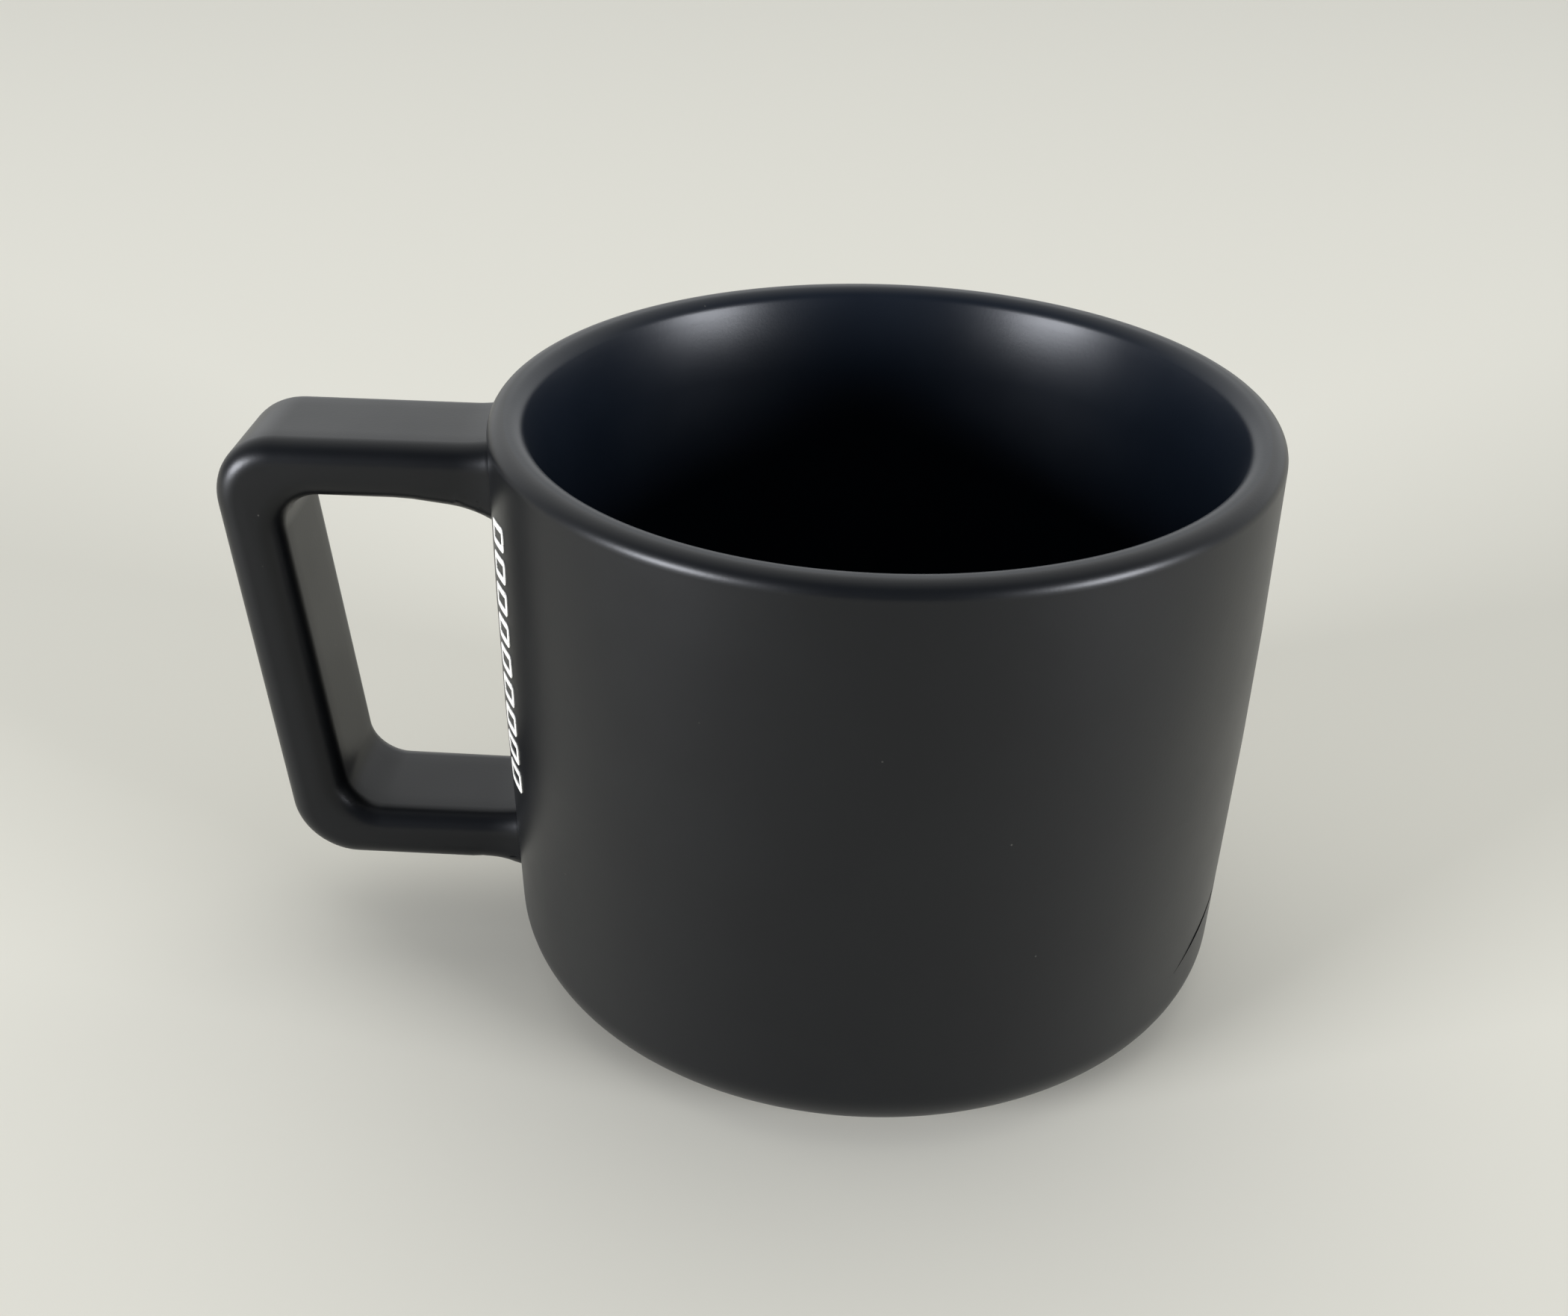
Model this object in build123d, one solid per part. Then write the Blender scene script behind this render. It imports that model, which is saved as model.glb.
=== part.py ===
from build123d import *
from math import atan, cos, radians, sin, tan
import os

# A glazed stoneware mug. Millimetres. The origin is the centre of the foot ring on the table,
# +Z is up, and the handle stands out towards -X. Sizes are those of the finished, glazed mug.

# Cup: an almost upright wall, a little fuller at half height, on a rounded lower corner. Under
# the fully rounded lip its inside leans outwards, which thins it.
cup_height = 76.5
rim_radius = 48.0
table_taper = 0.9               # how much less than the rim's radius the wall's line has at the table
belly = 0.2                     # how much more it has at its fullest
belly_height = 46.0
belly_bend = 500.0
wall = 5.9
lip_thinning = 1.8
lip_lean_height = 7.0
lip_lean_bend = 38.0            # radius that blends the lean into the wall
lip_flat = 0.2
lower_corner_radius = 6.8
underside_height = 1.5
inner_corner_radius = 9.0
floor_thickness = 5.5

# Foot ring, bare clay, the only face that meets the table
foot_ring_inset = 12.1          # from the wall's line at the table
foot_ring_width = 3.6
foot_ring_round = 0.7
recess_height = 2.3             # the glazed disc inside the ring

# Handle: a square loop. Depths are measured outwards from the wall at that height.
handle_width = 18.2
handle_round = 3.0
handle_drop = 4.4               # from the lip's top to the handle's top face
handle_base_height = 11.1
upper_bar = 7.4
lower_bar = 7.45
gap_depth_upper = 26.3
gap_depth_lower = 22.2
grip_thickness_upper = 7.7
grip_thickness_lower = 8.0
handle_upper_corner = 8.2
handle_lower_corner = 8.6
handle_gap_corner = 5.0
upper_flare_length = 11.5       # the stretch by the wall where a bar's underside curves down
lower_flare_length = 6.0
flare_radius = 34.0
handle_root_depth = 3.0         # how deep the loop is drawn into the wall before it is cut back

# Slip that sticks the handle's two ends to the wall
slip_layer = 0.5
slip_squeeze = 0.25             # how far it stands out round the handle's end, under the glaze

# Glaze, fired on, and the plain ornament on it
glaze = 0.4
print_thickness = 0.1
mark_count = 9
mark_pitch = 4.2
mark_length = 6.0               # round the wall
mark_width = 3.2                # up the wall
mark_stroke = 0.85
mark_slant = 0.9                # rise of one end over the other
marks_middle_height = 49.0
marks_angle = 22.3              # from the handle's middle plane

# Incised line: an arc that fades out at both ends
line_depth = 0.7
line_width = 0.9
line_middle_angle = 40.0
line_half_angle = 100.0
line_middle_height = 23.6
line_end_height = 6.4

beyond = 10.0                   # how far a cutting shape runs past what it cuts

table_radius = rim_radius - table_taper
belly_radius = rim_radius + belly
foot_ring_radius = table_radius - foot_ring_inset
lip_thickness = wall - lip_thinning
lip_round = (lip_thickness - lip_flat) / 2
lip_line_radius = rim_radius - lip_thickness / 2


def wall_radius(height):
    """Outer radius of the glazed wall, as two straight lines that meet at the belly."""
    if height < belly_height:
        return table_radius + (belly_radius - table_radius) * height / belly_height
    share = (height - belly_height) / (cup_height - belly_height)
    return belly_radius + (rim_radius - belly_radius) * share


def face_of(corners):
    """Upright face in the XZ plane from (x, z, corner radius) triples."""
    points = [(x, z) for x, z, radius in corners]
    radii = [radius for x, z, radius in corners]
    return Plane.XZ * make_face(FilletPolyline(*points, radius=radii, close=True))


def turned(corners):
    return revolve(face_of(corners), Axis.Z, 360)


def outer_form(depth):
    """The cup's outside as a solid without its hollow, `depth` under the glazed surface."""
    base = underside_height + depth
    top = cup_height - depth
    return turned([
        (0, base, 0),
        (wall_radius(base) - depth, base, lower_corner_radius - depth),
        (belly_radius - depth, belly_height, belly_bend - depth),
        (wall_radius(top) - depth, top, lip_round - depth),
        (0, top, 0),
    ])


def hollow_form(depth):
    """The drink space, `depth` larger all round than the glazed one, open upwards."""
    base = underside_height + floor_thickness - depth
    top = cup_height - depth
    bend = cup_height - lip_lean_height
    lean = lip_thinning / lip_lean_height
    return turned([
        (0, base, 0),
        (wall_radius(base) - wall + depth, base, inner_corner_radius + depth),
        (wall_radius(bend) - wall + depth, bend, lip_lean_bend - depth),
        (rim_radius - lip_thickness + depth - depth * lean, top, lip_round - depth),
        (lip_line_radius, top, 0),
        (lip_line_radius, top + beyond, 0),
        (0, top + beyond, 0),
    ])


def handle_form(depth):
    """The handle loop, running into the wall, `depth` under the glazed surface."""
    gap_top = cup_height - handle_drop - upper_bar
    gap_base = handle_base_height + lower_bar
    gap_upper = wall_radius(gap_top) + gap_depth_upper
    gap_lower = wall_radius(gap_base) + gap_depth_lower
    inner_lean = (gap_upper - gap_lower) / (gap_top - gap_base)
    outer_lean = inner_lean + (grip_thickness_upper - grip_thickness_lower) / (gap_top - gap_base)

    def inner_line(height):
        return gap_lower + inner_lean * (height - gap_base) + depth

    def outer_line(height):
        return gap_lower + grip_thickness_lower + outer_lean * (height - gap_base) - depth

    top = cup_height - handle_drop - depth
    base = handle_base_height + depth
    gap_top += depth
    gap_base -= depth
    root = wall_radius(base) - handle_root_depth

    def flare(level, length):
        tangent = (length + handle_root_depth / 3) / 2
        corner = wall_radius(level) + length - tangent
        fall = (corner - root) * tan(2 * atan(tangent / (flare_radius + depth)))
        return corner, level - fall

    upper_flare, upper_root = flare(gap_top, upper_flare_length)
    lower_flare, lower_root = flare(base, lower_flare_length)
    loop = extrude(face_of([
        (-root, top, 0),
        (-outer_line(top), top, handle_upper_corner - depth),
        (-outer_line(base), base, handle_lower_corner - depth),
        (-lower_flare, base, flare_radius + depth),
        (-root, lower_root, 0),
        (-root, gap_base, 0),
        (-inner_line(gap_base), gap_base, handle_gap_corner + depth),
        (-inner_line(gap_top), gap_top, handle_gap_corner + depth),
        (-upper_flare, gap_top, flare_radius + depth),
        (-root, upper_root, 0),
    ]), amount=handle_width / 2 - depth, both=True)
    flat_faces = loop.faces().sort_by(Axis.Y)
    long_edges = [edge for face in (flat_faces[0], flat_faces[-1]) for edge in face.edges()
                  if edge.center().X < -root - 0.01]
    return fillet(long_edges, handle_round - depth)


def line_form(depth):
    """A tilted slab outside an upright cylinder set off centre: a channel that fades out at both ends."""
    fall = 1 - cos(radians(line_half_angle))
    fade = line_depth / fall
    rise = (line_middle_height - line_end_height) / fall
    reach = wall_radius(line_middle_height)
    middle = radians(line_middle_angle)
    tilt = Plane(
        origin=(0, 0, line_middle_height - rise),
        x_dir=(reach * cos(middle), reach * sin(middle), rise),
        z_dir=(-rise * cos(middle), -rise * sin(middle), reach),
    )
    slab = tilt * Box(4 * rim_radius, 4 * rim_radius, line_width + 2 * depth)
    core = Cylinder(reach - line_depth + fade - depth, 4 * cup_height)
    return slab - Pos(-fade * cos(middle), -fade * sin(middle), 0) * core


def foot_ring():
    inner = foot_ring_radius - foot_ring_width
    top = recess_height + glaze + floor_thickness / 4
    return turned([
        (inner, 0, foot_ring_round),
        (foot_ring_radius, 0, foot_ring_round),
        (foot_ring_radius, top, 0),
        (inner, top, 0),
    ])


def disc(radius, base, top):
    return Pos(0, 0, base) * Cylinder(radius, top - base, align=(Align.CENTER, Align.CENTER, Align.MIN))


def clay_recess():
    return disc(foot_ring_radius - foot_ring_width, 0, recess_height + glaze)


def cup_body():
    return outer_form(glaze) - hollow_form(glaze) + foot_ring() - clay_recess() - line_form(glaze)


def handle():
    return handle_form(glaze) - outer_form(glaze - slip_layer)


def slip_joints():
    """Upper and lower joint: the layer of slip between each end of the handle and the wall."""
    layer = outer_form(glaze - slip_layer) - outer_form(glaze)
    lower, upper = (layer & handle_form(glaze - slip_squeeze)).solids().sort_by(Axis.Z)
    return upper, lower


def liner_glaze():
    """The coat over the drink space, up to the middle of the lip."""
    return hollow_form(glaze) - hollow_form(0)


def outside_glaze():
    """The coat over the outside, from the middle of the lip down to the foot ring."""
    clay = outer_form(glaze) + handle_form(glaze) + slip_joints() - line_form(glaze)
    coat = outer_form(0) + handle_form(0) - line_form(0) - clay
    lip_zone = disc(lip_line_radius, cup_height - beyond, cup_height + beyond)
    ring_zone = disc(foot_ring_radius, 0, underside_height + floor_thickness / 2)
    return coat - lip_zone - ring_zone


def underside_glaze():
    return disc(foot_ring_radius - foot_ring_width, recess_height, recess_height + glaze)


def printed_marks():
    """A column of small open lozenges beside the handle, lying on the glaze."""
    skin = outer_form(-print_thickness) - outer_form(0)
    face = Plane(
        origin=(0, 0, marks_middle_height),
        x_dir=(sin(radians(marks_angle)), -cos(radians(marks_angle)), 0),
        z_dir=(-cos(radians(marks_angle)), -sin(radians(marks_angle)), 0),
    )

    def lozenge(length, width):
        rise = mark_slant * length / mark_length / 2
        corners = [
            (-length / 2, -width / 2 - rise),
            (length / 2, -width / 2 + rise),
            (length / 2, width / 2 + rise),
            (-length / 2, width / 2 - rise),
        ]
        return make_face(Polyline(*corners, close=True))

    mark = lozenge(mark_length, mark_width)
    mark -= lozenge(mark_length - 2 * mark_stroke, mark_width - 2 * mark_stroke)
    first = -(mark_count - 1) / 2 * mark_pitch
    marks = []
    for index in range(mark_count):
        place = face * Pos(0, first + index * mark_pitch, 0)
        prism = extrude(place * mark, amount=rim_radius + beyond)
        marks += (skin & prism).solids()
    return Compound(children=marks)


os.makedirs("parts", exist_ok=True)
upper_slip_joint, lower_slip_joint = slip_joints()
nodes = {
    "cup_body": cup_body(),
    "handle": handle(),
    "upper_slip_joint": upper_slip_joint,
    "lower_slip_joint": lower_slip_joint,
    "liner_glaze": liner_glaze(),
    "outside_glaze": outside_glaze(),
    "underside_glaze": underside_glaze(),
    "printed_marks": printed_marks(),
}
for name, shape in nodes.items():
    export_step(shape, f"parts/{name}.step")
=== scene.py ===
import math

import bpy
from mathutils import Matrix, Vector


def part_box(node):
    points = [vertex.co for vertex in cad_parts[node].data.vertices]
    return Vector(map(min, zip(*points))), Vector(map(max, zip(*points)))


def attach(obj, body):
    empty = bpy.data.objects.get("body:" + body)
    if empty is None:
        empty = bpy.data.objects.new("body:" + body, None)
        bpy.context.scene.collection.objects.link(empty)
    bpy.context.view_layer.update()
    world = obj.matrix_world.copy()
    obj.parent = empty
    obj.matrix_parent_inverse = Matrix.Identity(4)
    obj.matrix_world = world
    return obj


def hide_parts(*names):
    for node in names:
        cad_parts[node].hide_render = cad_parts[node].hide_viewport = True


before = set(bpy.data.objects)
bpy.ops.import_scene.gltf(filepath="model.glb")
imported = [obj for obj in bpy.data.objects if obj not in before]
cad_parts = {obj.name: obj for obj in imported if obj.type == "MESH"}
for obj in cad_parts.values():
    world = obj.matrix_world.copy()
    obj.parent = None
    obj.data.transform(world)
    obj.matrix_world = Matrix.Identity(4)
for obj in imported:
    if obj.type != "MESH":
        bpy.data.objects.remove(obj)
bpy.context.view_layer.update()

print("frame loaded:", len(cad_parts), "nodes")

mm = 0.001
coat = 0.4 * mm                                # thickness of the fired glaze
near = 0.0001 * mm                             # two places this close are the same


# small helpers

def makeActive(piece):
    bpy.ops.object.select_all(action="DESELECT")
    piece.select_set(True)
    bpy.context.view_layer.objects.active = piece


def selectVerts(piece, test):
    # in edit mode, leaves only the points that pass the test selected
    bpy.ops.mesh.select_mode(type="VERT")
    bpy.ops.mesh.select_all(action="DESELECT")
    bpy.ops.object.mode_set(mode="OBJECT")
    for point in piece.data.vertices:
        point.select = test(point.co)
    bpy.ops.object.mode_set(mode="EDIT")


def selectFaces(piece, test):
    bpy.ops.mesh.select_mode(type="FACE")
    bpy.ops.mesh.select_all(action="DESELECT")
    bpy.ops.object.mode_set(mode="OBJECT")
    for face in piece.data.polygons:
        face.select = test(face)
    bpy.ops.object.mode_set(mode="EDIT")


def drawOutline(name, corners, closed=False):
    # corners are (x, z, corner radius) in the upright plane: a single point is drawn out
    # from one to the next, and then each corner is rounded, finer where the radius is larger
    places = [Vector((x, 0, z)) for x, z, radius in corners]
    bpy.ops.object.select_all(action="DESELECT")
    bpy.ops.mesh.primitive_plane_add(size=2 * mm, location=(0, 0, 0))
    piece = bpy.context.object
    piece.name = piece.data.name = name
    bpy.ops.object.mode_set(mode="EDIT")
    bpy.ops.mesh.select_mode(type="VERT")
    bpy.ops.mesh.select_all(action="SELECT")
    bpy.ops.mesh.merge(type="CENTER")
    bpy.ops.transform.translate(value=places[0])
    for before, after in zip(places, places[1:]):
        bpy.ops.mesh.extrude_vertices_move(TRANSFORM_OT_translate={"value": after - before})
    if closed:
        ends = (places[0], places[-1])
        selectVerts(piece, lambda co: min((co - end).length for end in ends) < near)
        bpy.ops.mesh.edge_face_add()
    for index, (x, z, radius) in enumerate(corners):
        if radius == 0:
            continue
        here = places[index]
        following = places[(index + 1) % len(places)]
        turn = math.pi - (places[index - 1] - here).angle(following - here)
        quarter = max(10, min(20, 2.5 * radius / mm))
        steps = max(3, round(math.degrees(turn) / 90 * quarter))
        selectVerts(piece, lambda co: (co - here).length < near)
        bpy.ops.mesh.bevel(
            affect="VERTICES", offset_type="OFFSET", offset=radius * math.tan(turn / 2),
            segments=steps, profile=0.5, clamp_overlap=False)
    return piece


def spinOutline(piece, steps):
    # turned round the mug's axis; poles and the last seam are closed by merging
    bpy.ops.mesh.select_all(action="SELECT")
    bpy.ops.mesh.spin(steps=steps, angle=2 * math.pi, center=(0, 0, 0), axis=(0, 0, 1))
    bpy.ops.mesh.select_all(action="SELECT")
    bpy.ops.mesh.remove_doubles(threshold=0.0005 * mm)
    bpy.ops.mesh.normals_make_consistent(inside=False)


def cutAcross(piece, direction, places):
    # adds a ring of edges where a plane meets the mesh, at each distance along the direction
    for place in places:
        bpy.ops.mesh.select_all(action="SELECT")
        bpy.ops.mesh.bisect(plane_co=Vector(direction) * place, plane_no=direction)


def applyModifier(piece, kind, settings):
    if bpy.context.mode != "OBJECT":
        bpy.ops.object.mode_set(mode="OBJECT")
    makeActive(piece)
    modifier = piece.modifiers.new(kind.title(), kind)
    for key, value in settings.items():
        setattr(modifier, key, value)
    bpy.ops.object.modifier_apply(modifier=modifier.name)


def finishPiece(piece, nodes, material, angle=35):
    if bpy.context.mode != "OBJECT":
        bpy.ops.object.mode_set(mode="OBJECT")
    makeActive(piece)
    bpy.ops.object.shade_smooth_by_angle(angle=math.radians(angle))
    piece.data.materials.clear()
    piece.data.materials.append(material)
    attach(piece, "root")
    if nodes:
        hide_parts(*nodes)
    print("made", piece.name, len(piece.data.polygons), "faces")


# materials

def colour(hexCode):
    # sRGB hex to the linear values that the shader wants
    parts = [int(hexCode[start:start + 2], 16) / 255 for start in (1, 3, 5)]
    linear = [
        part / 12.92 if part <= 0.04045 else ((part + 0.055) / 1.055) ** 2.4 for part in parts]
    return (*linear, 1.0)


def addNode(tree, kind, settings, links=()):
    # settings are properties or sockets, links are (socket here, other node, its socket)
    node = tree.nodes.new(kind)
    for key, value in settings.items():
        if isinstance(key, str) and hasattr(node, key):
            setattr(node, key, value)
        else:
            node.inputs[key].default_value = value
    for socket, other, output in links:
        tree.links.new(other.outputs[output], node.inputs[socket])
    return node


mixA, mixB, mixOut = 6, 7, 2                   # a Mix node's colour sockets, by number


def newMaterial(name):
    material = bpy.data.materials.new(name)
    material.use_nodes = True
    tree = material.node_tree
    tree.nodes.clear()
    return material, tree


glazeLook = {
    "dark": "#06070a", "light": "#090b0d", "dust": "#6a6862",
    "roughness": (0.33, 0.36), "ior": 1.47, "specular": 0.32,
    "mottleSize": 14.0, "grainSize": 0.45, "grain": 0.02, "rippleSize": 12.0, "ripple": 0.05,
    "dustSpacing": 5.5, "dustCore": 0.012, "dustEdge": 0.03, "dustShare": 0.3,
}


def satinBlackGlaze(name, look):
    # Matt black stoneware glaze, poured and fired: a soft satin reflection, a fine grain in it,
    # a slow ripple from the hand, and a few specks of dust
    material, tree = newMaterial(name)
    place = addNode(tree, "ShaderNodeTexCoord", {})
    mottle = addNode(tree, "ShaderNodeTexNoise", {
        "Scale": 1 / (look["mottleSize"] * mm), "Detail": 3.0, "Roughness": 0.5},
        [("Vector", place, "Object")])
    grain = addNode(tree, "ShaderNodeTexNoise", {
        "Scale": 1 / (look["grainSize"] * mm), "Detail": 2.0, "Roughness": 0.6},
        [("Vector", place, "Object")])
    ripple = addNode(tree, "ShaderNodeTexNoise", {
        "Scale": 1 / (look["rippleSize"] * mm), "Detail": 1.0}, [("Vector", place, "Object")])
    specks = addNode(tree, "ShaderNodeTexVoronoi", {
        "Scale": 1 / (look["dustSpacing"] * mm)}, [("Vector", place, "Object")])
    dust = addNode(tree, "ShaderNodeMapRange", {
        "From Min": look["dustCore"], "From Max": look["dustEdge"],
        "To Min": look["dustShare"], "To Max": 0.0}, [("Value", specks, "Distance")])
    tint = addNode(tree, "ShaderNodeMix", {
        "data_type": "RGBA", mixA: colour(look["dark"]), mixB: colour(look["light"])},
        [("Factor", mottle, "Fac")])
    dusty = addNode(tree, "ShaderNodeMix", {
        "data_type": "RGBA", mixB: colour(look["dust"])},
        [("Factor", dust, "Result"), (mixA, tint, mixOut)])
    gloss = addNode(tree, "ShaderNodeMapRange", {
        "From Min": 0.35, "From Max": 0.65,
        "To Min": look["roughness"][0], "To Max": look["roughness"][1]},
        [("Value", mottle, "Fac")])
    slow = addNode(tree, "ShaderNodeBump", {
        "Strength": 1.0, "Distance": look["ripple"] * mm}, [("Height", ripple, "Fac")])
    bump = addNode(tree, "ShaderNodeBump", {
        "Strength": 0.3, "Distance": look["grain"] * mm},
        [("Height", grain, "Fac"), ("Normal", slow, "Normal")])
    shader = addNode(tree, "ShaderNodeBsdfPrincipled", {
        "IOR": look["ior"], "Specular IOR Level": look["specular"]}, [
        ("Base Color", dusty, mixOut), ("Roughness", gloss, "Result"), ("Normal", bump, "Normal")])
    addNode(tree, "ShaderNodeOutputMaterial", {}, [("Surface", shader, "BSDF")])
    return material


clayLook = {
    "dark": "#a8957a", "light": "#c6b599", "specks": "#5d4a38",
    "gritSize": 0.8, "grit": 0.08, "speckSpacing": 1.6, "speckCore": 0.1, "speckEdge": 0.2,
    "roughness": 0.82,
}


def bareStoneware(name, look):
    # Buff stoneware, fired and left bare: a dry, gritty tan with dark iron specks
    material, tree = newMaterial(name)
    place = addNode(tree, "ShaderNodeTexCoord", {})
    grit = addNode(tree, "ShaderNodeTexNoise", {
        "Scale": 1 / (look["gritSize"] * mm), "Detail": 5.0, "Roughness": 0.65},
        [("Vector", place, "Object")])
    iron = addNode(tree, "ShaderNodeTexVoronoi", {
        "Scale": 1 / (look["speckSpacing"] * mm)}, [("Vector", place, "Object")])
    tone = addNode(tree, "ShaderNodeMapRange", {"From Min": 0.35, "From Max": 0.65},
                   [("Value", grit, "Fac")])
    dots = addNode(tree, "ShaderNodeMapRange", {
        "From Min": look["speckCore"], "From Max": look["speckEdge"],
        "To Min": 1.0, "To Max": 0.0}, [("Value", iron, "Distance")])
    body = addNode(tree, "ShaderNodeMix", {
        "data_type": "RGBA", mixA: colour(look["dark"]), mixB: colour(look["light"])},
        [("Factor", tone, "Result")])
    tint = addNode(tree, "ShaderNodeMix", {
        "data_type": "RGBA", mixB: colour(look["specks"])},
        [("Factor", dots, "Result"), (mixA, body, mixOut)])
    bump = addNode(tree, "ShaderNodeBump", {
        "Strength": 0.6, "Distance": look["grit"] * mm}, [("Height", grit, "Fac")])
    shader = addNode(tree, "ShaderNodeBsdfPrincipled", {
        "Roughness": look["roughness"], "IOR": 1.5},
        [("Base Color", tint, mixOut), ("Normal", bump, "Normal")])
    addNode(tree, "ShaderNodeOutputMaterial", {}, [("Surface", shader, "BSDF")])
    return material


printLook = {"ink": "#e9e7df", "worn": "#8f8d86", "wear": 0.6, "roughness": 0.42}


def whiteOverglaze(name, look):
    # White enamel, printed and fired on over the glaze: flat, a little worn at random
    material, tree = newMaterial(name)
    place = addNode(tree, "ShaderNodeTexCoord", {})
    wear = addNode(tree, "ShaderNodeTexNoise", {
        "Scale": 1 / (look["wear"] * mm), "Detail": 4.0, "Roughness": 0.7},
        [("Vector", place, "Object")])
    share = addNode(tree, "ShaderNodeMapRange", {"From Min": 0.32, "From Max": 0.46},
                    [("Value", wear, "Fac")])
    tint = addNode(tree, "ShaderNodeMix", {
        "data_type": "RGBA", mixA: colour(look["worn"]), mixB: colour(look["ink"])},
        [("Factor", share, "Result")])
    shader = addNode(tree, "ShaderNodeBsdfPrincipled", {
        "Roughness": look["roughness"], "IOR": 1.5}, [("Base Color", tint, mixOut)])
    addNode(tree, "ShaderNodeOutputMaterial", {}, [("Surface", shader, "BSDF")])
    return material


outsideFinish = satinBlackGlaze("satinBlackGlazeOutside", glazeLook)
# the liner is the same black glaze as the outside; its two colours are lifted and turned blue as
# painted light, standing in for the cool window light that falls inside the cup
linerLookPaintedCoolLight = {**glazeLook, "dark": "#0a0f16", "light": "#0d131b"}
linerFinishPaintedCoolLight = satinBlackGlaze("satinBlackGlazeLinerPaintedCoolLight", linerLookPaintedCoolLight)
clayFinish = bareStoneware("bareBuffStoneware", clayLook)
printFinish = whiteOverglaze("whiteEnamelPrint", printLook)
print("materials made")


# the cup: clay body, outside coat, liner and the glazed disc under it

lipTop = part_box("liner_glaze")[1].z
cup = {
    "belly": 0.2 * mm, "bellyHeight": 46.0 * mm, "bellyBend": 500 * mm, "taper": 0.9 * mm,
    "lip": 4.1 * mm, "lipRound": 1.95 * mm, "wall": 5.9 * mm,
    "lean": 7.0 * mm, "leanBend": 38 * mm,
    "underside": 1.5 * mm, "lowerCorner": 6.8 * mm, "floor": 7.0 * mm, "floorCorner": 9.0 * mm,
    "ringInset": 12.1 * mm, "ringWidth": 3.6 * mm, "ringRound": 0.7 * mm, "recess": 2.3 * mm,
    "glazeEnd": 0.45 * mm, "glazeEndRound": 0.5 * mm, "glazeEndLean": 0.02 * mm,
    "steps": 256,
}
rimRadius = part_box("liner_glaze")[1].y + cup["lip"] / 2
bellyRadius = rimRadius + cup["belly"]
tableRadius = rimRadius - cup["taper"]
ringRadius = tableRadius - cup["ringInset"]
ringInside = ringRadius - cup["ringWidth"]
lipLine = rimRadius - cup["lip"] / 2


def wallAt(height):
    if height < cup["bellyHeight"]:
        return tableRadius + (bellyRadius - tableRadius) * height / cup["bellyHeight"]
    share = (height - cup["bellyHeight"]) / (lipTop - cup["bellyHeight"])
    return bellyRadius + (rimRadius - bellyRadius) * share


def outsideCorners(depth):
    base = cup["underside"] + depth
    return [
        (rimRadius - depth, lipTop - depth, cup["lipRound"] - depth),
        (bellyRadius - depth, cup["bellyHeight"], cup["bellyBend"]),
        (wallAt(base) - depth, base, cup["lowerCorner"] - depth),
    ]


def insideCorners(depth):
    base = cup["floor"] - depth
    bend = lipTop - cup["lean"]
    lipInside = rimRadius - cup["lip"] + depth * (1 - (cup["wall"] - cup["lip"]) / cup["lean"])
    return [
        (wallAt(base) - cup["wall"] + depth, base, cup["floorCorner"] + depth),
        (wallAt(bend) - cup["wall"] + depth, bend, cup["leanBend"] - depth),
        (lipInside, lipTop - depth, cup["lipRound"] - depth),
    ]


line = {
    "depth": 0.7 * mm, "width": 0.9 * mm, "middleAngle": 40, "halfAngle": 100,
    "middleHeight": 23.6 * mm, "endHeight": 6.4 * mm, "lowRing": 9 * mm, "rings": 30,
    "coreHeight": 300 * mm,
}


def lineTool(depth):
    # a tilted slab with an upright cylinder taken out of it, set off centre: what is left
    # bites into the wall along an arc and fades out at both ends
    reach = wallAt(line["middleHeight"])
    spread = 1 - math.cos(math.radians(line["halfAngle"]))
    fade = line["depth"] / spread
    rise = (line["middleHeight"] - line["endHeight"]) / spread
    middle = math.radians(line["middleAngle"])
    across = Vector((math.cos(middle), math.sin(middle), 0))
    facing = Vector((0, 0, reach)) - across * rise
    bpy.ops.object.select_all(action="DESELECT")
    bpy.ops.mesh.primitive_cylinder_add(
        vertices=cup["steps"], radius=reach - line["depth"] + fade - depth,
        depth=line["coreHeight"], location=across * -fade)
    core = bpy.context.object
    bpy.ops.mesh.primitive_cube_add(
        size=1, location=(0, 0, line["middleHeight"] - rise),
        rotation=facing.to_track_quat("Z", "X").to_euler())
    tool = bpy.context.object
    tool.scale = (4 * rimRadius, 4 * rimRadius, line["width"] + 2 * depth)
    bpy.ops.object.transform_apply(location=True, rotation=True, scale=True)
    applyModifier(tool, "BOOLEAN", {"operation": "DIFFERENCE", "solver": "EXACT", "object": core})
    bpy.data.objects.remove(core)
    return tool


def cutLine(piece, depth):
    # level rings first, so that the cut doesn't leave tall thin faces above and below it
    cutAcross(piece, (0, 0, 1), [line["lowRing"] + step * mm for step in range(line["rings"])])
    bpy.ops.object.mode_set(mode="OBJECT")
    tool = lineTool(depth)
    applyModifier(piece, "BOOLEAN", {"operation": "DIFFERENCE", "solver": "EXACT", "object": tool})
    bpy.data.objects.remove(tool)
    bpy.ops.object.mode_set(mode="EDIT")


def outsideCoat():
    # drawn as a closed form for the cut; its level discs then go and the coat is thickened
    piece = drawOutline("outsideGlazeWall", [
        (0, lipTop, 0), (lipLine, lipTop, 0), *outsideCorners(0),
        (ringRadius + cup["glazeEndRound"], cup["underside"], cup["glazeEndRound"]),
        (ringRadius + cup["glazeEndLean"], cup["underside"] - cup["glazeEnd"], 0),
        (0, cup["underside"] - cup["glazeEnd"], 0),
    ])
    spinOutline(piece, cup["steps"])
    cutLine(piece, 0)
    selectFaces(piece, lambda face: abs(face.normal.z) > 0.99 and (
        face.center.xy.length < ringRadius or face.center.z > lipTop - 0.01 * mm
        and face.center.xy.length < lipLine))
    bpy.ops.mesh.delete(type="FACE")
    applyModifier(piece, "SOLIDIFY", {"thickness": coat, "offset": -1, "use_even_offset": True})
    finishPiece(piece, ["outside_glaze"], outsideFinish)
    return piece


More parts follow.
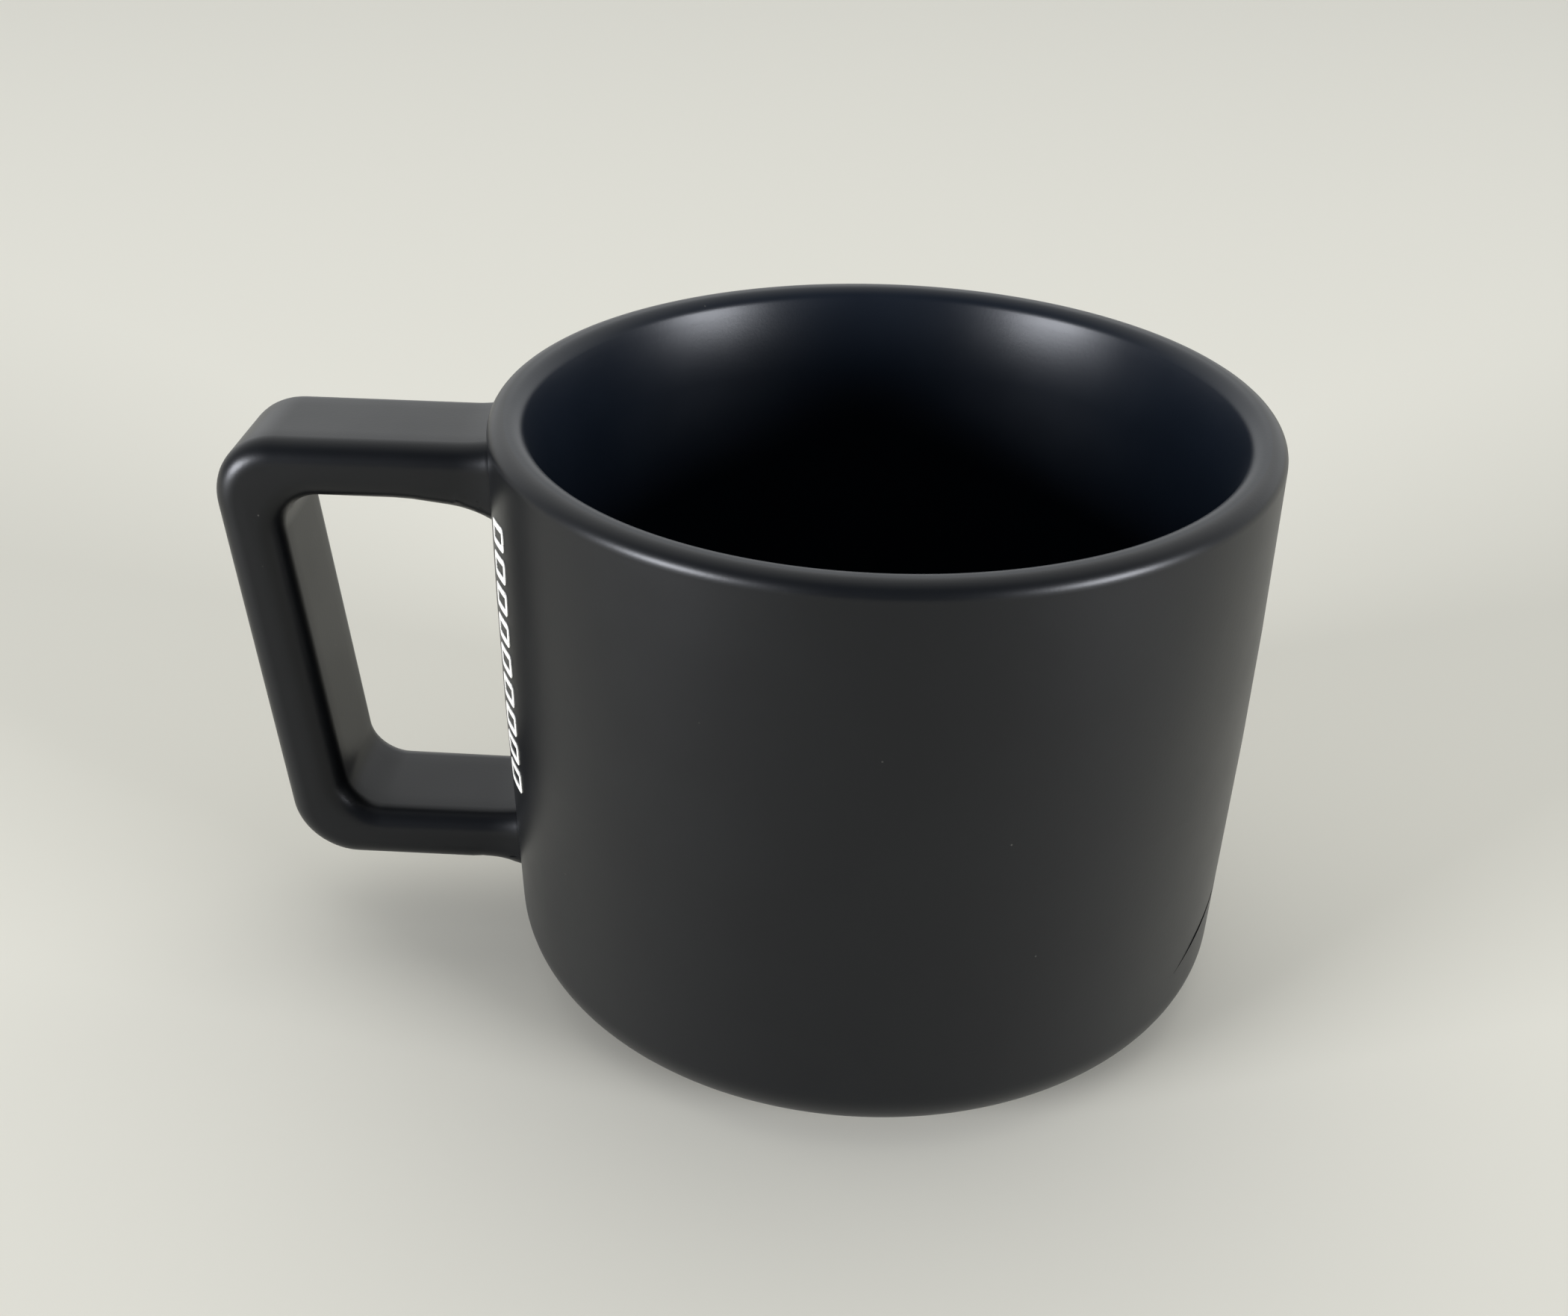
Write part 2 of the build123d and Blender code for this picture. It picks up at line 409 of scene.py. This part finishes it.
def linerCoat():
    piece = drawOutline("linerGlaze", [
        (0, cup["floor"], 0), *insideCorners(0), (lipLine, lipTop, 0)])
    spinOutline(piece, cup["steps"])
    applyModifier(piece, "SOLIDIFY", {"thickness": coat, "offset": -1, "use_even_offset": True})
    finishPiece(piece, ["liner_glaze"], linerFinishPaintedCoolLight)


def clayCup():
    roof = cup["recess"] + coat
    piece = drawOutline("clayCup", [
        (0, roof, 0), (ringInside, roof, 0), (ringInside, 0, cup["ringRound"]),
        (ringRadius, 0, cup["ringRound"]), (ringRadius, cup["underside"] + coat, 0),
        *reversed(outsideCorners(coat)), *reversed(insideCorners(coat)),
        (0, cup["floor"] - coat, 0),
    ])
    spinOutline(piece, cup["steps"])
    cutLine(piece, coat)
    finishPiece(piece, ["cup_body"], clayFinish)


meniscus = {
    "inset": 0.4 * mm, "round": 0.6 * mm, "edgeInset": 0.2 * mm, "edgeDrop": 0.8 * mm,
    "edgeRound": 0.15 * mm, "drop": 0.9 * mm,
}


def undersideCoat():
    # the glaze in the recess, drawn a little way down the ring by its own surface
    below, above = cup["recess"], cup["recess"] + coat
    piece = drawOutline("undersideGlaze", [
        (0, below, 0), (ringInside - meniscus["inset"], below, meniscus["round"]),
        (ringInside - meniscus["edgeInset"], below - meniscus["edgeDrop"], meniscus["edgeRound"]),
        (ringInside, below - meniscus["drop"], 0), (ringInside, above, 0), (0, above, 0),
    ])
    spinOutline(piece, cup["steps"])
    finishPiece(piece, ["underside_glaze"], outsideFinish)


def clayNodes():
    # the handle's clay and the slip stay as CAD meshes, under the glaze
    for node in ("handle", "upper_slip_joint", "lower_slip_joint"):
        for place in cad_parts[node].material_slots:
            place.material = clayFinish
    print("clay on the handle and slip")


wallCoat = outsideCoat()
linerCoat()
clayCup()
clayNodes()
undersideCoat()


# the handle: a square loop, with its edges rounded and its ends spread by the slip

loop = {
    "width": 18.2 * mm, "edgeRound": 3.0 * mm, "edgeSteps": 10,
    "drop": 4.4 * mm, "base": 11.1 * mm,
    "upperBar": 7.4 * mm, "lowerBar": 7.45 * mm, "gapUpper": 26.3 * mm, "gapLower": 22.2 * mm,
    "gripUpper": 7.7 * mm, "gripLower": 8.0 * mm,
    "upperCorner": 8.2 * mm, "lowerCorner": 8.6 * mm, "gapCorner": 5.0 * mm,
    "upperFlare": 11.5 * mm, "lowerFlare": 6.0 * mm, "flareRadius": 34.0 * mm,
    "flareStart": 3.0 * mm,
    "root": 9 * mm, "spreadLength": 4.2 * mm, "spread": 0.45 * mm, "spreadSteps": 9,
    "outerRings": [5.2 * mm, 4.7 * mm], "innerRing": -0.8 * mm,
    "sideCuts": [-4 * mm, -2 * mm, 0, 2 * mm, 4 * mm],
}


def handleOutline():
    top = lipTop - loop["drop"]
    base = loop["base"]
    gapTop, gapBase = top - loop["upperBar"], base + loop["lowerBar"]
    upper = wallAt(gapTop) + loop["gapUpper"]
    lower = wallAt(gapBase) + loop["gapLower"]
    root = wallAt(base) - loop["root"]
    lean = (upper + loop["gripUpper"] - lower - loop["gripLower"]) / (gapTop - gapBase)

    def outer(height):
        return -(lower + loop["gripLower"] + lean * (height - gapBase))

    def flare(level, length):
        # the lower face of a bar, curving down into the wall
        tangent = (length + loop["flareStart"] / 3) / 2
        corner = wallAt(level) + length - tangent
        fall = (corner - root) * math.tan(2 * math.atan(tangent / loop["flareRadius"]))
        return (-corner, level, loop["flareRadius"]), (-root, level - fall, 0)

    upperFlare, upperRoot = flare(gapTop, loop["upperFlare"])
    lowerFlare, lowerRoot = flare(base, loop["lowerFlare"])
    return [
        (-root, top, 0), (outer(top), top, loop["upperCorner"]),
        (outer(base), base, loop["lowerCorner"]), lowerFlare, lowerRoot,
        (-root, gapBase, 0), (-lower, gapBase, loop["gapCorner"]),
        (-upper, gapTop, loop["gapCorner"]), upperFlare, upperRoot,
    ]


def spreadEnds(piece):
    # rings of points by the wall, each a little wider than the last and wrapped to the wall
    middle, onRing = lipTop / 2, 0.001 * mm
    steps = loop["spreadSteps"]
    rings = loop["outerRings"] + [
        loop["spreadLength"] * (1 - step / steps) for step in range(steps + 1)]
    cutAcross(piece, (1, 0, 0), [-rimRadius - out for out in rings])
    bpy.ops.mesh.select_all(action="SELECT")
    bpy.ops.mesh.bisect(
        plane_co=(-rimRadius - loop["innerRing"], 0, 0), plane_no=(1, 0, 0), clear_outer=True)
    rings.append(loop["innerRing"])
    # the old edges between the rings go, or the wrapped rings would cross them
    selectVerts(piece, lambda co: co.x > -rimRadius - rings[0] and min(
        abs(co.x + rimRadius + out) for out in rings) > onRing)
    bpy.ops.mesh.select_mode(type="EDGE")
    bpy.ops.mesh.dissolve_edges(use_verts=True)
    cutAcross(piece, (0, 1, 0), loop["sideCuts"])
    groups = []
    for out in rings:
        for upper in (True, False):
            def inRing(co):
                return abs(co.x + rimRadius + out) < onRing and (co.z > middle) == upper
            selectVerts(piece, inRing)
            bpy.ops.object.mode_set(mode="OBJECT")
            chosen = [point for point in piece.data.vertices if point.select]
            low = Vector(min(point.co[axis] for point in chosen) for axis in range(3))
            high = Vector(max(point.co[axis] for point in chosen) for axis in range(3))
            group = piece.vertex_groups.new(name="ring")
            group.add([point.index for point in chosen], 1.0, "REPLACE")
            groups.append((group.name, wallAt((low.z + high.z) / 2) + out))
            bpy.ops.object.mode_set(mode="EDIT")
            share = max(0, 1 - out / loop["spreadLength"])
            extra = 2 * loop["spread"] * min(1, share) ** 2
            if extra > 0:
                bpy.ops.transform.resize(
                    value=(1, 1 + extra / (high.y - low.y), 1 + extra / (high.z - low.z)),
                    center_override=(low + high) / 2)
    for groupName, radius in groups:
        applyModifier(piece, "CAST", {
            "cast_type": "CYLINDER", "use_z": False, "factor": 1.0, "use_radius_as_size": False,
            "size": radius, "vertex_group": groupName})
    piece.vertex_groups.clear()


def handleCoat():
    piece = drawOutline("outsideGlazeHandle", handleOutline(), closed=True)
    bpy.ops.mesh.select_all(action="SELECT")
    bpy.ops.mesh.edge_face_add()
    bpy.ops.transform.translate(value=(0, loop["width"] / 2, 0))
    bpy.ops.mesh.extrude_region_move(TRANSFORM_OT_translate={"value": (0, -loop["width"], 0)})
    bpy.ops.mesh.select_all(action="SELECT")
    bpy.ops.mesh.normals_make_consistent(inside=False)
    selectFaces(piece, lambda face: abs(face.normal.y) > 0.9)
    bpy.ops.mesh.bevel(
        affect="EDGES", offset_type="OFFSET", offset=loop["edgeRound"],
        segments=loop["edgeSteps"], profile=0.5, clamp_overlap=False)
    spreadEnds(piece)
    applyModifier(piece, "SOLIDIFY", {"thickness": coat, "offset": -1})
    finishPiece(piece, [], outsideFinish, angle=50)


handleCoat()


# the printed ornament: a column of small open lozenges beside the handle

marks = {
    "count": 9, "pitch": 4.2 * mm, "length": 6.0 * mm, "width": 3.2 * mm, "stroke": 0.85 * mm,
    "slant": 0.9 * mm, "cornerRound": 0.7 * mm, "middleHeight": 49.0 * mm, "angle": 22.3,
    "thickness": 0.1 * mm, "lift": 0.01 * mm, "clear": 1 * mm, "bends": 12,
}


def oneMark(height):
    # drawn flat, opened, and cut across so that it can bend; stands clear of the wall
    half, side, rise = marks["length"] / 2, marks["width"] / 2, marks["slant"] / 2
    radius = marks["cornerRound"]
    piece = drawOutline("printedMark", [
        (-half, -side - rise, radius), (half, -side + rise, radius),
        (half, side + rise, radius), (-half, side - rise, radius),
    ], closed=True)
    bpy.ops.mesh.select_all(action="SELECT")
    bpy.ops.mesh.edge_face_add()
    bpy.ops.mesh.select_mode(type="FACE")
    bpy.ops.mesh.inset(thickness=marks["stroke"])
    bpy.ops.mesh.delete(type="FACE")
    shares = [step / marks["bends"] - 0.5 for step in range(1, marks["bends"])]
    cutAcross(piece, (1, 0, 0), [marks["length"] * share for share in shares])
    bpy.ops.mesh.select_all(action="SELECT")
    bpy.ops.transform.translate(value=(0, -wallAt(height) - marks["clear"], height))
    bpy.ops.object.mode_set(mode="OBJECT")
    piece.rotation_euler.z = math.radians(marks["angle"] - 90)
    bpy.ops.object.transform_apply(location=True, rotation=True, scale=True)
    return piece


def printedMarks():
    # the column of marks, wrapped onto the wall's coat and given its thickness
    lowest = marks["middleHeight"] - (marks["count"] - 1) / 2 * marks["pitch"]
    made = [oneMark(lowest + index * marks["pitch"]) for index in range(marks["count"])]
    bpy.ops.object.select_all(action="DESELECT")
    for piece in made:
        piece.select_set(True)
    bpy.context.view_layer.objects.active = made[0]
    bpy.ops.object.join()
    piece = made[0]
    piece.name = piece.data.name = "printedMarks"
    applyModifier(piece, "SHRINKWRAP", {
        "target": wallCoat, "wrap_method": "NEAREST_SURFACEPOINT", "wrap_mode": "ON_SURFACE",
        "offset": marks["lift"]})
    bpy.ops.object.mode_set(mode="EDIT")
    bpy.ops.mesh.select_all(action="SELECT")
    bpy.ops.mesh.normals_make_consistent(inside=False)
    applyModifier(piece, "SOLIDIFY", {"thickness": marks["thickness"], "offset": 1})
    finishPiece(piece, ["printed_marks"], printFinish)


printedMarks()


# stage, lamps and camera

stand = {"size": 40, "colour": "#dcd8ca", "roughness": 0.7}

bpy.ops.object.select_all(action="DESELECT")
bpy.ops.mesh.primitive_plane_add(size=stand["size"], location=(0, 0, 0))
floor = bpy.context.object
floor.name = "floor"
floorFinish, floorTree = newMaterial("paleFloor")
floorShader = addNode(floorTree, "ShaderNodeBsdfPrincipled", {
    "Base Color": colour(stand["colour"]), "Roughness": stand["roughness"]})
addNode(floorTree, "ShaderNodeOutputMaterial", {}, [("Surface", floorShader, "BSDF")])
floor.data.materials.append(floorFinish)

studio = {
    "back": "#f1f3f4", "backStrength": 1.3, "front": "#aab4c4", "frontStrength": 0.3,
    "brightest": (0.05, 0.9, 0.43), "dimAt": -0.15, "brightAt": 0.9, "beyond": "#e4e3dc",
}


def studioWorld():
    # a soft room: white and bright behind the mug and overhead, dim on the camera's side,
    # and pale to the camera itself
    world = bpy.data.worlds.new("studio")
    bpy.context.scene.world = world
    world.use_nodes = True
    tree = world.node_tree
    tree.nodes.clear()
    sky = addNode(tree, "ShaderNodeTexCoord", {})
    along = addNode(tree, "ShaderNodeVectorMath", {
        "operation": "DOT_PRODUCT", 1: studio["brightest"]}, [(0, sky, "Generated")])
    share = addNode(tree, "ShaderNodeMapRange", {
        "interpolation_type": "SMOOTHSTEP",
        "From Min": studio["dimAt"], "From Max": studio["brightAt"]}, [("Value", along, "Value")])
    near = addNode(tree, "ShaderNodeBackground", {
        "Color": colour(studio["front"]), "Strength": studio["frontStrength"]})
    far = addNode(tree, "ShaderNodeBackground", {
        "Color": colour(studio["back"]), "Strength": studio["backStrength"]})
    both = addNode(tree, "ShaderNodeMixShader", {}, [
        ("Fac", share, "Result"), (1, near, "Background"), (2, far, "Background")])
    beyond = addNode(tree, "ShaderNodeBackground", {"Color": colour(studio["beyond"])})
    path = addNode(tree, "ShaderNodeLightPath", {})
    seen = addNode(tree, "ShaderNodeMixShader", {}, [
        ("Fac", path, "Is Camera Ray"), (1, both, "Shader"), (2, beyond, "Background")])
    addNode(tree, "ShaderNodeOutputWorld", {}, [("Surface", seen, "Shader")])


windows = {
    "colour": "#f4f7ff", "spread": 100, "elevation": 11, "distance": 2.6,
    "width": 1.11, "height": 0.78,
}


def softLamp(name, azimuth, power):
    # a large window on one side, turned to the mug
    bpy.ops.object.light_add(type="AREA")
    lamp = bpy.context.object
    lamp.name = name
    lamp.data.shape = "RECTANGLE"
    lamp.data.size, lamp.data.size_y = windows["width"], windows["height"]
    lamp.data.energy = power
    lamp.data.spread = math.radians(windows["spread"])
    lamp.data.color = colour(windows["colour"])[:3]
    turn, lift = math.radians(azimuth), math.radians(windows["elevation"])
    level = windows["distance"] * math.cos(lift)
    lamp.location = (
        level * math.cos(turn), level * math.sin(turn), windows["distance"] * math.sin(lift))
    lamp.rotation_euler = lamp.location.to_track_quat("Z", "Y").to_euler()


studioWorld()
softLamp("windowRight", azimuth=-27, power=26.0)
softLamp("windowLeft", azimuth=-147, power=32.0)

view = {
    "tilt": 0.521, "roll": 0.0184, "turn": 2.8, "place": (-11.71, -204.22, 157.94), "lens": 41.14,
    "sensor": 36, "clipStart": 0.005,
}


def placeCamera():
    bpy.ops.object.camera_add()
    camera = bpy.context.object
    camera.data.sensor_width = view["sensor"]
    camera.data.lens = view["lens"]
    camera.data.clip_start = view["clipStart"]
    tilt = Matrix.Rotation(math.pi / 2 - view["tilt"], 4, "X")
    roll = Matrix.Rotation(view["roll"], 4, "Z")
    place = Matrix.Translation(Vector(view["place"]) * mm)
    turn = Matrix.Rotation(math.radians(view["turn"]), 4, "Z")
    camera.matrix_world = turn @ place @ tilt @ roll
    bpy.context.scene.camera = camera


placeCamera()
bpy.context.scene.view_settings.view_transform = "Standard"
print("stage set")
